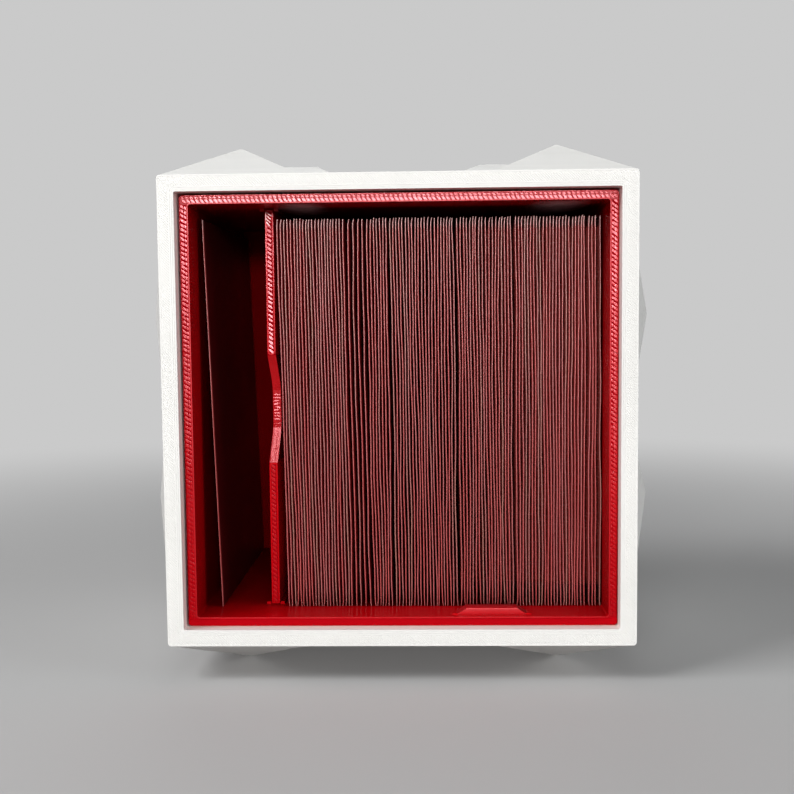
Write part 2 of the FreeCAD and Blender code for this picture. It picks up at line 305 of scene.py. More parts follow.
def add_bead(shape, path, crest_y, depth, width=BEAD_WIDTH, kind=0):
    """A line of plastic along a closed path of (x, z) points."""
    rings = []
    for index, here in enumerate(path):
        before, after = path[index - 1], path[(index + 1) % len(path)]
        across = Vector((0, 0))
        for first, second in ((before, here), (here, after)):
            across += Vector((first[1] - second[1], second[0] - first[0])).normalized()
        rings.append(crown_ring(Vector(here), across.normalized(), width, crest_y, depth))
    shape.add_rings(rings, kind=kind, closed=True)


def add_stroke(shape, start, stop, crest_y, depth, width, sink=0.0, kind=0):
    """A short straight line of plastic with rounded ends."""
    start, stop = Vector(start), Vector(stop)
    along = (stop - start).normalized()
    across = Vector((-along.y, along.x))
    rings = []
    for end, way in ((start, -1), (stop, 1)):
        part = []
        for shift, share, drop in STROKE_END:
            place = end + along * width * shift * way
            part.append(crown_ring(place, across, width, crest_y, depth, share, drop + sink))
        rings += part if way < 0 else part[::-1]
    shape.add_rings(rings, kind=kind)


def add_knots(shape, start, stop, first, rows, crest_y, chance, slant=KNOT_SLANT, tilt=0.0):
    """Rows of slanted knots from start to stop; first points from the middle to the first row.

    Their faces lean back at their tops, by nothing at start and by tilt at stop.
    """
    start, stop, first = Vector(start), Vector(stop), Vector(first).normalized()
    length = (stop - start).length
    along = (stop - start) / length
    count = round(length / KNOT_PITCH)
    slanted = Vector((math.cos(math.radians(slant)), -math.sin(math.radians(slant))))
    axes = (first, along, slanted.dot(along) / slanted.dot(first))
    for away, across, reach, shift, sink in rows:
        for number in range(count):
            place = (number + 0.5 + shift + chance.uniform(-0.05, 0.05)) * length / count
            centre = start + along * min(place, length - reach / 2) - first * away
            halves = (across / 2 * chance.uniform(*KNOT_ACROSS), reach / 2 * chance.uniform(*KNOT_ALONG))
            back = sink + chance.uniform(0.0, 0.012)
            lean = tilt * (number + 0.5) / count + tilt * chance.uniform(-0.1, 0.1)
            add_knot(shape, centre, axes, halves, crest_y + back, lean, KNOT)


def add_knot(shape, centre, axes, halves, y, lean, kind):
    """One flat lump of plastic with a rounded edge."""
    rings = [knot_ring(centre, axes, halves, 0.0, y + RIM_SKIN_DEPTH)]
    rings += [knot_ring(centre, axes, halves, inset, y + drop, lean) for inset, drop in KNOT_EDGE]
    shape.add_rings(rings, kind=kind)


def knot_ring(centre, axes, halves, inset, y, lean=0.0):
    """A slanted outline with cut corners; it lies deeper by lean for each millimetre upwards.

    axes holds the ways across and along and the slant between them, and halves half its sizes.
    """
    first, along, shear = axes
    half_across, half_along = (half - inset for half in halves)
    cut = min(half_across, half_along) * KNOT_CUT
    ring = []
    for side_across, side_along in ((1, 1), (-1, 1), (-1, -1), (1, -1)):
        corner = [(half_across * side_across, (half_along - cut) * side_along),
                  ((half_across - cut) * side_across, half_along * side_along)]
        if side_across * side_along < 0:
            corner.reverse()
        for across, forward in corner:
            point = centre + first * across + along * (forward + shear * across)
            ring.append((point.x, y + lean * (point.y - centre.y), point.y))
    return ring


def bevel_edges(shell, chosen, width, segments=2):
    bmesh.ops.bevel(shell, geom=chosen, offset=width * MM, offset_type="OFFSET", segments=segments,
                    profile=0.5, affect="EDGES", clamp_overlap=True)


def from_node(name):
    """A node's own mesh, welded, with its flat faces whole again, ready to be edited in bmesh."""
    shell = bmesh.new()
    shell.from_mesh(frame["nodes"][name].data)
    bmesh.ops.remove_doubles(shell, verts=shell.verts, dist=0.002 * MM)
    bmesh.ops.dissolve_limit(shell, angle_limit=math.radians(0.3), verts=shell.verts, edges=shell.edges)
    return shell


# --- materials ---

class Shader:
    """A material's nodes, with short ways to add them and join them up."""

    def __init__(self, name):
        self.material = bpy.data.materials.new(name)
        self.material.use_nodes = True
        self.tree = self.material.node_tree
        self.surface = self.tree.nodes["Principled BSDF"]
        self.place = self.add("ShaderNodeTexCoord").outputs["Object"]

    def add(self, kind, inputs=None, **settings):
        item = self.tree.nodes.new(kind)
        for name, value in settings.items():
            setattr(item, name, value)
        for name, value in (inputs or {}).items():
            self.put(item.inputs[name], value)
        return item

    def put(self, socket, value):
        if isinstance(value, bpy.types.NodeSocket):
            self.tree.links.new(value, socket)
        else:
            socket.default_value = opaque(value) if socket.type == "RGBA" else value

    def set(self, **values):
        for name, value in values.items():
            self.put(self.surface.inputs[name.replace("_", " ")], value)

    def split(self, vector):
        return self.add("ShaderNodeSeparateXYZ", {"Vector": vector}).outputs

    def math(self, operation, first, second=0.0, third=0.0):
        item = self.add("ShaderNodeMath", {0: first, 1: second, 2: third}, operation=operation)
        return item.outputs[0]

    def times(self, first, second):
        return self.math("MULTIPLY", first, second)

    def scaled(self, scale, turn=(0, 0, 0)):
        """The place on the piece, stretched and turned."""
        item = self.add("ShaderNodeMapping", {"Vector": self.place, "Rotation": turn, "Scale": scale})
        return item.outputs["Vector"]

    def noise(self, scale, detail=3.0, roughness=0.55, vector=None):
        item = self.add("ShaderNodeTexNoise", {"Vector": vector or self.place, "Scale": scale,
                                               "Detail": detail, "Roughness": roughness})
        return item.outputs["Fac"]

    def ramp(self, value, low, high, new_low=0.0, new_high=1.0, smooth=False):
        """Carry a value from one range to another, held at both ends."""
        item = self.add("ShaderNodeMapRange", {"Value": value, "From Min": low, "From Max": high,
                                               "To Min": new_low, "To Max": new_high})
        item.interpolation_type = "SMOOTHSTEP" if smooth else "LINEAR"
        return item.outputs["Result"]

    def mix(self, share, first, second):
        item = self.add("ShaderNodeMix", data_type="RGBA")
        self.put(item.inputs["Factor"], share)
        self.put(item.inputs[6], first)
        self.put(item.inputs[7], second)
        return item.outputs[2]

    def openness(self, least, reach):
        """1 where the piece is open to its surroundings, down to least where it is closed in."""
        around = self.add("ShaderNodeAmbientOcclusion", {"Distance": reach * MM}, samples=6)
        return self.ramp(around.outputs["AO"], 0.1, 0.7, least, 1.0, smooth=True)

    def bump(self, height, distance, strength, under=None):
        item = self.add("ShaderNodeBump", {"Height": height, "Distance": distance, "Strength": strength})
        if under:
            self.put(item.inputs["Normal"], under)
        return item.outputs["Normal"]


def opaque(colour):
    return (*colour, 1.0)


def printed_plastic(name, colour, pale, deep, roughness, gloss, shade=1.0, painted_glimmers=(),
                    tint=(1.0, 1.0, 1.0), inside=None, dull_below=None):
    """Plastic laid down in thin layers from the back of the piece to its front.

    The layers show as fine lines around every side.  Flat ends, which face along Y, show the
    slanted lines of their last layer instead.  pale and deep are the colour's streaks, and shade is
    painted shade, the share of the colour left in the deepest corner.  inside says where along Y the
    two colours of painted reflected light lie, and dull_below between which heights the gloss sets in.
    """
    shader = Shader(name)
    x, y, z = shader.split(shader.place)
    normal = shader.split(shader.add("ShaderNodeNewGeometry").outputs["Normal"])
    facing = shader.ramp(shader.math("ABSOLUTE", normal["Y"]), 0.8, 0.95)

    turns = 2 * math.pi / MM
    layers = shader.math("SINE", shader.times(y, turns / LAYER))
    slanted = shader.math("SINE", shader.times(shader.math("ADD", x, z),
                                               turns / (BEAD_WIDTH * math.sqrt(2))))
    bands = shader.noise(1.0, detail=5.0, roughness=0.7, vector=shader.scaled((25, 2600, 25)))
    wide_bands = shader.noise(1.0, detail=2.0, vector=shader.scaled((6, 330, 6)))
    grain = shader.noise(5200, detail=2.0)
    cloud = shader.noise(55, detail=4.0)

    side_lines = shader.math("MULTIPLY_ADD", bands, 2.2, shader.times(layers, 0.45))
    end_lines = shader.times(slanted, 0.12)
    lines = shader.add("ShaderNodeMix", {"Factor": facing, 2: side_lines, 3: end_lines}, data_type="FLOAT")
    coarse = shader.bump(lines.outputs[0], 0.012 * MM, 0.9)
    fine = shader.bump(grain, 0.004 * MM, 0.4, under=coarse)

    tone = shader.math("MULTIPLY_ADD", wide_bands, 0.45, shader.times(cloud, 0.55))
    body = shader.mix(shader.ramp(tone, 0.36, 0.62), deep, colour)
    paint = shader.mix(shader.ramp(bands, 0.56, 0.74, 0.0, 0.35), body, pale)
    rough = shader.ramp(shader.math("ADD", bands, cloud), 0.7, 1.3, roughness - 0.03, roughness + 0.06)
    # Painted reflected light: the colour turns to near_colour, then to far_colour, along Y.
    if inside:
        start, stop, near_colour, far_colour = inside
        paint = shader.mix(shader.ramp(y, start * MM, stop * MM), paint, near_colour)
        paint = shader.mix(shader.ramp(y, stop * MM, (stop + GLOW_FADE) * MM), paint, far_colour)
    # Painted shade: the colour darkens towards black, and the gloss fades, where the piece is closed in.
    if shade < 1.0:
        level = shader.openness(shade, 70)
        paint = shader.mix(level, (0, 0, 0), paint)
        gloss = shader.times(shader.math("POWER", level, 4.0), gloss)
    if dull_below:
        foot, top = dull_below
        gloss = shader.times(gloss, shader.ramp(z, foot * MM, top * MM, 0.3, 1.0, smooth=True))
    # Painted reflections: pale glimmers laid over the colour.
    for centre, radius in painted_glimmers:
        paint = add_painted_glimmer(shader, y, z, paint, centre, radius)
    shader.set(Base_Color=paint, Roughness=rough, Normal=fine, IOR=1.5, Specular_IOR_Level=gloss,
               Specular_Tint=tint)
    return shader.material


# A pale glimmer painted on the tray's ceiling as a reflection: its colour, its squeeze along each axis,
# how far it frays out, and where it fades away in front of its middle and above the ceiling's face.
GLIMMER_COLOUR = (0.95, 0.66, 0.70)
GLIMMER_SQUEEZE = (1.0, 0.33, 1.0)
GLIMMER_FRAY = 3.0
GLIMMER_FRONT = (11.5, 10.0)
GLIMMER_TOP = (0.5, 1.0)


def add_painted_glimmer(shader, y, z, paint, centre, radius):
    """A pale patch of painted reflection on the ceiling, with a ragged edge, three times as long as it is
    wide.
    """
    middle = tuple(value * share * MM for value, share in zip(centre, GLIMMER_SQUEEZE))
    away = shader.add("ShaderNodeVectorMath", {0: shader.scaled(GLIMMER_SQUEEZE), 1: middle},
                      operation="DISTANCE").outputs["Value"]
    ragged = shader.math("MULTIPLY_ADD", shader.noise(330, detail=5.0), 2.6 * MM, away)
    glimmer_share = shader.ramp(ragged, (radius + GLIMMER_FRAY) * MM, radius * 0.3 * MM, 0.0, 0.85, smooth=True)
    front = [(centre[1] - reach) * MM for reach in GLIMMER_FRONT]
    top = [(centre[2] + reach) * MM for reach in GLIMMER_TOP]
    behind_rim = shader.ramp(y, *front)
    below_top = shader.ramp(z, *top, 1.0, 0.0)
    share = shader.times(glimmer_share, shader.times(behind_rim, below_top))
    return shader.mix(share, paint, GLIMMER_COLOUR)


def plastic_between_knots(top):
    """Red plastic between knots: dull, with painted shade high on the sides and a painted highlight in the
    top rim.
    """
    shader = Shader("red_plastic_between_knots")
    height = shader.split(shader.place)["Z"]
    # Painted shade: darker from 45 mm up to 85 mm high.
    deep = shader.ramp(height, 45 * MM, 85 * MM)
    paint = shader.mix(deep, (0.41, 0.002, 0.006), (0.30, 0.001, 0.005))
    # Painted highlight: pale pink in the top rim, above the ceiling.
    paint = shader.mix(shader.ramp(height, (top - 0.2) * MM, top * MM), paint, (0.54, 0.085, 0.095))
    shader.set(Base_Color=paint, Roughness=shader.ramp(shader.noise(900), 0.3, 0.7, 0.6, 0.75),
               Specular_IOR_Level=0.0)
    return shader.material


# The colours of sleeves' welded rims, from the reddest card to the greyest, and the painted highlight on
# their tops.
EDGE_COLOURS = ((0.0, (0.46, 0.062, 0.062)), (0.35, (0.47, 0.08, 0.078)), (0.6, (0.43, 0.095, 0.098)),
                (0.8, (0.39, 0.115, 0.11)), (1.0, (0.38, 0.145, 0.118)))
EDGE_TOP_HIGHLIGHT = (0.88, 0.62, 0.60)


def sleeve_edge(top):
    """The welded rim of a sleeve: milky film, redder or greyer from card to card, and a painted highlight
    on top.
    """
    shader = Shader("sleeve_edge")
    tint = shader.add("ShaderNodeAttribute", attribute_name="tint").outputs["Fac"]
    streaks = shader.noise(1.0, detail=1.5, vector=shader.scaled((900, 900, 45)))
    share = shader.math("MULTIPLY_ADD", shader.math("SUBTRACT", streaks, 0.5), 1.1, tint)
    ramp = shader.add("ShaderNodeValToRGB", {"Fac": share})
    stops = ramp.color_ramp.elements
    stops[0].color = opaque(EDGE_COLOURS[0][1])
    stops[1].color = opaque(EDGE_COLOURS[-1][1])
    for place, colour in EDGE_COLOURS[1:-1]:
        stops.new(place).color = opaque(colour)
    height = shader.split(shader.place)["Z"]
    # Painted highlight: the rim turns pale over its top 3.2 mm.
    tip = shader.ramp(height, (top - 3.2) * MM, (top - 0.6) * MM, 0.0, 0.5, smooth=True)
    paint = shader.mix(tip, ramp.outputs["Color"], EDGE_TOP_HIGHLIGHT)
    grain = shader.noise(2600, detail=2.0)
    shader.set(Base_Color=paint, Roughness=shader.ramp(streaks, 0.3, 0.7, 0.31, 0.38),
               Normal=shader.bump(grain, 0.005 * MM, 0.3), IOR=1.5, Specular_IOR_Level=1.0,
               Specular_Tint=(1.0, 0.75, 0.73))
    return shader.material


def sleeve_back(name, dark, light):
    """The coloured back of a sleeve: film with a fine tooth, and painted shade where it is closed in."""
    shader = Shader(name)
    tooth = shader.noise(3400, detail=1.0)
    cloud = shader.noise(40, detail=4.0)
    paint = shader.mix(shader.ramp(cloud, 0.35, 0.65), dark, light)
    # Painted shade: colour and gloss darken where the sleeve is closed in.
    level = shader.openness(0.45, 12)
    paint = shader.mix(level, (0, 0, 0), paint)
    gloss = shader.times(level, 0.3)
    shader.set(Base_Color=paint, Roughness=shader.ramp(cloud, 0.3, 0.7, 0.3, 0.4), Specular_IOR_Level=gloss,
               Normal=shader.bump(tooth, 0.006 * MM, 0.5), IOR=1.5)
    return shader.material


def sleeve_front():
    """The clear front of a sleeve: plain blotches over the card, and painted shade where no card is."""
    shader = Shader("sleeve_front")
    print_tone = shader.noise(130)
    scratches = shader.noise(1.0, detail=4.0, vector=shader.scaled((400, 400, 3200), turn=(0.5, 0, 0)))
    paint = shader.mix(shader.ramp(print_tone, 0.38, 0.62), (0.62, 0.09, 0.08), (0.76, 0.16, 0.14))
    full = shader.add("ShaderNodeAttribute", attribute_name="filled").outputs["Fac"]
    # Painted shade: near black where no card fills the sleeve, for the dark seen through the clear film.
    paint = shader.mix(full, (0.05, 0.012, 0.012), paint)
    shader.set(Base_Color=paint, Roughness=shader.ramp(scratches, 0.35, 0.65, 0.12, 0.3), IOR=1.5)
    return shader.material


def card_stock():
    """The card's own top edge, seen in the sleeve's open mouth."""
    shader = Shader("card_stock")
    fibres = shader.noise(3000)
    paint = shader.mix(shader.ramp(fibres, 0.35, 0.65), (0.62, 0.59, 0.54), (0.78, 0.75, 0.70))
    shader.set(Base_Color=paint, Roughness=0.8, Normal=shader.bump(fibres, 0.02 * MM, 0.5))
    return shader.material


# --- case ---

def make_case():
    """The white case: its own body, with the last printed layer laid on its front as real lines."""
    low, high = case_block()
    cavity_low, cavity_high = hollow(low, high, CASE_WALL)
    shell = from_node("case")
    front, back = low.y, high.y
    white = dict(colour=(0.86, 0.86, 0.84), pale=(0.90, 0.90, 0.89), deep=(0.82, 0.82, 0.80),
                 roughness=0.5, gloss=0.3)
    white_plastic = printed_plastic("white_plastic", **white)
    # Painted reflected light: the cavity's walls turn pink, then red, behind the front, for the red tray's
    # light.
    painted_red_glow = (front + GLOW_START, front + GLOW_FULL, (0.99, 0.88, 0.83), (0.96, 0.42, 0.46))
    glow_painted_plastic = printed_plastic("white_plastic_painted_glow", inside=painted_red_glow, **white)

    def at_corner(place):
        return all(min(abs(place[axis] - cavity_low[axis]), abs(place[axis] - cavity_high[axis])) < NEAR
                   for axis in (0, 2))

    def in_cavity(place):
        return (all(cavity_low[axis] - NEAR < place[axis] < cavity_high[axis] + NEAR for axis in (0, 2))
                and place.y < cavity_high.y + NEAR)

    def edges_where(test):
        return [edge for edge in shell.edges if all(test(vertex.co / MM) for vertex in edge.verts)]

    bevel_edges(shell, edges_where(at_corner), CAVITY_ROUND, 4)
    bevel_edges(shell, edges_where(lambda place: place.y > back - NEAR), CASE_BACK_ROUND)
    kinds = [int(all(in_cavity(vertex.co / MM) for vertex in face.verts)) for face in shell.faces]
    for vertex in shell.verts:
        if vertex.co.y / MM < front + NEAR:
            vertex.co.y += SKIN_DEPTH * MM
    mesh = bpy.data.meshes.new("case_shell")
    shell.to_mesh(mesh)
    shell.free()
    mesh.materials.clear()
    for material in (white_plastic, glow_painted_plastic):
        mesh.materials.append(material)
    mesh.polygons.foreach_set("material_index", kinds)
    body = add_object("case_shell", mesh, 12)

    skin = Shape()
    add_case_skin(skin, low, high, cavity_low, cavity_high)
    cover = skin.make("case_front_skin", [white_plastic], 40)
    for piece in (body, cover):
        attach(piece, "case")
    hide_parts("case")


def case_block():
    """Lowest and highest corner of the case without its relief, as its front face shows them."""
    low, high = node_box("case")
    face = [vertex.co for vertex in frame["nodes"]["case"].data.vertices
            if vertex.co.y / MM < low.y + NEAR]
    xs, _, zs = ([place[axis] / MM for place in face] for axis in range(3))
    return Corner(min(xs), low.y, min(zs)), Corner(max(xs), high.y, max(zs))


def add_case_skin(skin, low, high, cavity_low, cavity_high):
    """Lines along both rims of the front frame, and slanted lines between them."""
    depth = SKIN_DEPTH * 1.5
    rims = ((low, high, CASE_ROUND, 1, OUTER_LINES),
            (cavity_low, cavity_high, CAVITY_ROUND, -1, INNER_LINES))
    reaches = []
    for foot, top, radius, way, count in rims:
        for number in range(count):
            inset = way * BEAD_WIDTH * (number + 0.5)
            path = rounded_outline(foot, top, radius - inset * LINE_ROUNDING, inset)
            add_bead(skin, path, low.y, depth)
        edge = way * BEAD_WIDTH * count
        reaches.append((foot.x + edge, foot.z + edge, top.x - edge, top.z - edge))
    outer, inner = reaches
    step = BEAD_WIDTH * math.sqrt(2)
    total = outer[0] + outer[1] + step / 2
    while total < outer[2] + outer[3]:
        for start, stop in slanted_spans(total, outer, inner):
            if stop - start > BEAD_WIDTH:
                add_stroke(skin, (start, total - start), (stop, total - stop), low.y + HATCH_SINK, depth,
                           HATCH_WIDTH)
        total += step


def slanted_spans(total, outer, inner):
    """The stretches of the line x + z = total that lie in a square ring, as pairs of x."""
    start = max(outer[0], total - outer[3])
    stop = min(outer[2], total - outer[1])
    hole_start = max(inner[0], total - inner[3])
    hole_stop = min(inner[2], total - inner[1])
    if hole_stop <= hole_start:
        return [(start, stop)]
    return [(start, hole_start), (hole_stop, stop)]


# --- tray ---

# The materials of the tray and the divider, in the order of red_plastics.
BODY, MATTE, LINE, KNOT, STEP, PALE = range(6)


def red_plastics():
    """The red plastic's sides, holes between knots, lines, knots, notch steps and painted-highlight
    strokes.
    """
    low, high = node_box("drawer")
    ceiling = high.z - TRAY_WALL
    # Painted reflections: two pale glimmers on the ceiling, each a place and a size.
    painted_glimmers = (((-22.6, low.y + 13.0, ceiling), 5.2), ((37.4, low.y + 13.5, ceiling), 6.4))
    # body, line and knots get painted shade in closed-in corners.
    body = printed_plastic("red_plastic", colour=(0.68, 0.002, 0.006), pale=(0.72, 0.004, 0.012),
                           deep=(0.62, 0.0015, 0.005), roughness=0.14, gloss=0.62, shade=0.2,
                           painted_glimmers=painted_glimmers, tint=(1.0, 0.42, 0.46), dull_below=(30, 80))
    line = printed_plastic("red_plastic_line", colour=(0.58, 0.004, 0.010), pale=(0.62, 0.03, 0.04),
                           deep=(0.52, 0.002, 0.006), roughness=0.3, gloss=0.45, shade=0.2,
                           tint=(1.0, 0.54, 0.58))
    knot = printed_plastic("red_plastic_knots", colour=(0.60, 0.003, 0.008), pale=(0.64, 0.01, 0.02),
                           deep=(0.54, 0.002, 0.006), roughness=0.20, gloss=0.84, shade=0.2,
                           tint=(1.0, 0.50, 0.55), dull_below=(30, 80))
    # The notch's steps get no corner darkening; their darker red is painted shade of the notch instead.
    step = printed_plastic("red_plastic_steps", colour=(0.54, 0.006, 0.010), pale=(0.58, 0.03, 0.035),
                           deep=(0.48, 0.003, 0.006), roughness=0.17, gloss=0.36, tint=(1.0, 0.42, 0.46))
    # Painted highlight: pale pink for the strokes at the divider's top.
    painted_highlight_red = printed_plastic("red_plastic_painted_highlight", colour=(0.64, 0.20, 0.21), pale=(0.74, 0.44, 0.44),
                               deep=(0.60, 0.10, 0.11), roughness=0.2, gloss=0.6)
    return [body, plastic_between_knots(ceiling), line, knot, step, painted_highlight_red]


def make_tray(reds):
    """The red tray: an open shell with the printed rim, the catch and the divider's ribs."""
    low, high = node_box("drawer")
    inner_low, inner_high = hollow(low, high, TRAY_WALL)
    base_y = low.y + RIM_SKIN_DEPTH
    tray = Shape()
    edge = TRAY_BACK_ROUND
    toe = rounded_outline(low, high, TRAY_ROUND - edge, edge)
    outer = rounded_outline(low, high, TRAY_ROUND)
    inner = rounded_outline(inner_low, inner_high, TRAY_INNER_ROUND)
    sides = len(outer)
    tray.add_rings([at_depth(toe, high.y), at_depth(outer, high.y - edge), at_depth(outer, base_y),
                    at_depth(inner, base_y), at_depth(inner, inner_high.y)],
                   kinds=[[kind] * sides for kind in (BODY, BODY, MATTE, BODY)])
    add_rim_skin(tray, low, high, inner_low, inner_high)
    add_catch(tray, low, high, inner_low)
    add_ribs(tray, inner_low, inner_high)
    piece = tray.make("tray", reds)
    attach(piece, "drawer")
    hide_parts("drawer")


def add_rim_skin(tray, low, high, inner_low, inner_high):
    """Lines around the rim's outside and inside, and between them knots, or broad lines at the bottom."""
    inset = OUTER_LINE / 2
    path = rounded_outline(low, high, TRAY_ROUND - inset, inset)
    add_bead(tray, path, low.y + OUTER_LINE_SINK, RIM_SKIN_DEPTH, OUTER_LINE)
    inset = INNER_LINE / 2
    path = rounded_outline(inner_low, inner_high, TRAY_INNER_ROUND + inset, -inset)
    add_bead(tray, path, low.y + INNER_LINE_SINK, RIM_SKIN_DEPTH, INNER_LINE, kind=LINE)
    middle = TRAY_WALL / 2
    chance = random.Random(7)
    left, right, top = low.x + middle, high.x - middle, high.z - middle
    sides = ((left, -1, LEFT_KNOTS, LEFT_TILT), (right, 1, RIGHT_KNOTS, RIGHT_TILT))
    for x, outwards, rows, tilt in sides:
        start, stop = (x, top - middle), (x, low.z + TRAY_WALL)
        add_knots(tray, start, stop, (outwards, 0), rows, low.y, chance, tilt=tilt)
    start, stop = low.x + OUTER_LINE * 1.5, high.x - OUTER_LINE * 1.5
    add_knots(tray, (start, top), (stop, top), (0, 1), TOP_KNOTS, low.y, chance, TOP_SLANT)
    for share in BOTTOM_LINES:
        z = low.z + TRAY_WALL * share
        add_stroke(tray, (start, z), (stop, z), low.y, RIM_SKIN_DEPTH, BEAD_WIDTH * 1.5, LINE_SINK, MATTE)


def add_catch(tray, low, high, inner_low):
    """A low trapezoid bar across the floor, just behind the rim, rounded at its top."""
    middle = (low.x + high.x) / 2 + CATCH_OFFSET
    near, far = low.y + CATCH_SETBACK, low.y + CATCH_SETBACK + CATCH_LENGTH
    floor = inner_low.z
    slope = (CATCH_BASE - CATCH_TOP) / 2
    edge = CATCH_EDGE
    rings = []
    for level, spread, inset in ((-SUNK, 0, 0), (0, 0, 0), (CATCH_HEIGHT - edge, 1, 0),
                                 (CATCH_HEIGHT - edge * 0.3, 1, edge * 0.3), (CATCH_HEIGHT, 1, edge)):
        half = CATCH_BASE / 2 - slope * spread - inset
        rings.append(flat_ring(middle - half, middle + half, near + inset, far - inset, floor + level))
    tray.add_rings(rings, kind=LINE)
    for side in (-1, 1):
        foot = middle + side * CATCH_BASE / 2
        add_blister(tray, (foot, near + BLISTER_SETBACK, floor))


def flat_ring(left, right, front, back, z):
    return [(left, front, z), (right, front, z), (right, back, z), (left, back, z)]


def add_blister(shape, centre):
    """A small flat dome of plastic."""
    turns = [math.tau * step / BLISTER_SIDES for step in range(BLISTER_SIDES)]
    rings = []
    for level, share in ((-0.3, 1.0), (0.0, 1.0), (0.55, 0.83), (0.85, 0.5), (1.0, 0.16)):
        rings.append([(centre[0] + BLISTER_REACH[0] * share * math.cos(turn),
                       centre[1] + BLISTER_REACH[1] * share * math.sin(turn),
                       centre[2] + BLISTER_REACH[2] * level) for turn in turns])
    shape.add_rings(rings)


def add_ribs(tray, inner_low, inner_high):
    """Low ribs on the floor and the ceiling, at both sides of the divider."""
    low, high = node_box("divider")
    for x in (low.x - RIB_GAP - RIB_WIDTH, high.x + RIB_GAP):
        for wall, way in ((inner_low.z, 1), (inner_high.z, -1)):
            rings = []
            for level, inset in ((-SUNK, 0), (RIB_HEIGHT - RIB_EDGE, 0), (RIB_HEIGHT, RIB_EDGE)):
                rings.append(flat_ring(x + inset, x + RIB_WIDTH - inset, low.y + inset,
                                       inner_high.y + SUNK, wall + way * level))
            tray.add_rings(rings)


# --- divider ---

def notch_reach(depth):
    """Half the height of the notch at a depth behind the divider's front edge."""
    run = (NOTCH_MOUTH - NOTCH_FLOOR) / 2
    angle = math.atan2(NOTCH_DEPTH, run)
    tangent = NOTCH_ROUND * math.tan(angle / 2)
    bend_depth = NOTCH_DEPTH - tangent * math.sin(angle)
    if depth <= bend_depth:
        return NOTCH_MOUTH / 2 - depth / math.tan(angle)
    rise = NOTCH_ROUND - (NOTCH_DEPTH - depth)
    start = NOTCH_FLOOR / 2 - tangent
    return start + math.sqrt(max(0.0, NOTCH_ROUND ** 2 - rise ** 2))


def notch_rows():
    """The notch's printed steps, from its middle outwards, as pairs of (height, depth).

    Each step leans back a little towards the notch's middle.
    """
    rows = []
    count = round(NOTCH_DEPTH / LAYER)
    last = RUNGS_REACH
    bend, bend_depth = RISER_BEND
    for number in reversed(range(count)):
        height = notch_reach((number + 0.5) * LAYER)
        floor, step = (number + 1) * LAYER, number * LAYER
        droop = min((height - last) * STEP_LEAN, LAYER * 0.3)
        last = height + RISER
        rows += [(height, floor - droop), (height + bend, floor - LAYER * bend_depth), (last, step)]
    return rows


def make_divider(reds):
    """The divider: a thin panel whose front edge shows the printed steps of its finger notch."""
    low, high = node_box("divider")
    middle = (low.z + high.z) / 2
    base_y = low.y + RIM_SKIN_DEPTH
    upper = notch_rows()
    rows = [(low.z, 0.0)]
    rows += [(middle - height, depth) for height, depth in reversed(upper)]
    rows += [(middle + height, depth) for height, depth in upper]
    rows += [(high.z, 0.0)]
    half = (high.x - low.x) / 2
    centre = (high.x + low.x) / 2
    rings = []
    for height, depth in rows:
        ring = [(low.x, high.y, height)]
        for step in range(-STEP_POINTS, STEP_POINTS + 1):
            across = step / STEP_POINTS
            hump = 1 - math.sqrt(max(0.0, 1 - (2 * abs(across) - 1) ** 2))
            dip = hump * STEP_DIP if depth > 0 else 0.0
            ring.append((centre + across * half, base_y + depth + dip, height))
        ring.append((high.x, high.y, height))
        rings.append(ring)
    panel = Shape()
    sides = len(rings[0])
    kinds = [[BODY] + [STEP] * (sides - 3) + [BODY] * 2 for _ in rings[1:]]
    for end in (0, -1):
        kinds[end] = [MATTE] * sides
    panel.add_rings(rings, kinds=kinds)
    add_divider_skin(panel, low, high, middle)
    piece = panel.make("divider_panel", reds, 40)
    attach(piece, "divider")
    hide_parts("divider")


def add_divider_skin(panel, low, high, middle):
    """The last layer on the straight stretches of the front edge and on the notch's floor."""
    centre = (low.x + high.x) / 2
    chance = random.Random(11)
    mouth = NOTCH_MOUTH / 2
    margin = 0.4
    for start, stop, end_round in ((low.z, middle - mouth, 0.3), (middle + mouth, high.z, 0.75)):
        foot, top = Corner(low.x, low.y, start), Corner(high.x, low.y, stop)
        path = rounded_outline(foot, top, end_round, BEAD_WIDTH / 2)
        add_bead(panel, path, low.y + LINE_SINK, RIM_SKIN_DEPTH)
        knots_stop = stop - margin if stop < high.z else stop - PALE_END
        add_knots(panel, (centre, knots_stop), (centre, start + margin), (-1, 0), DIVIDER_KNOTS, low.y,
                  chance, tilt=DIVIDER_TILT)
    add_rungs(panel, centre, middle - RUNGS_REACH, middle + RUNGS_REACH, low.y + NOTCH_DEPTH, chance)
    add_painted_highlight_strokes(panel, low, high, centre)


def add_rungs(panel, centre, low_z, high_z, y, chance):
    """Short lines across the notch's floor, tilted up a little, and crooked halfway up."""
    count = round((high_z - low_z) / RUNG_PITCH)
    for number in range(count):
        share = (number + 0.5) / count
        place = Vector((centre + chance.uniform(-RUNG_SWAY, RUNG_SWAY), low_z + (high_z - low_z) * share))
        shear = chance.uniform(-RUNG_CROOK, RUNG_CROOK) * (1 - abs(2 * share - 1))
        halves = (chance.uniform(*RUNG_ACROSS), chance.uniform(*RUNG_ALONG))
        axes = (Vector((-1, 0)), Vector((0, -1)), shear)
        add_knot(panel, place, axes, halves, y, RUNG_LEAN, STEP)


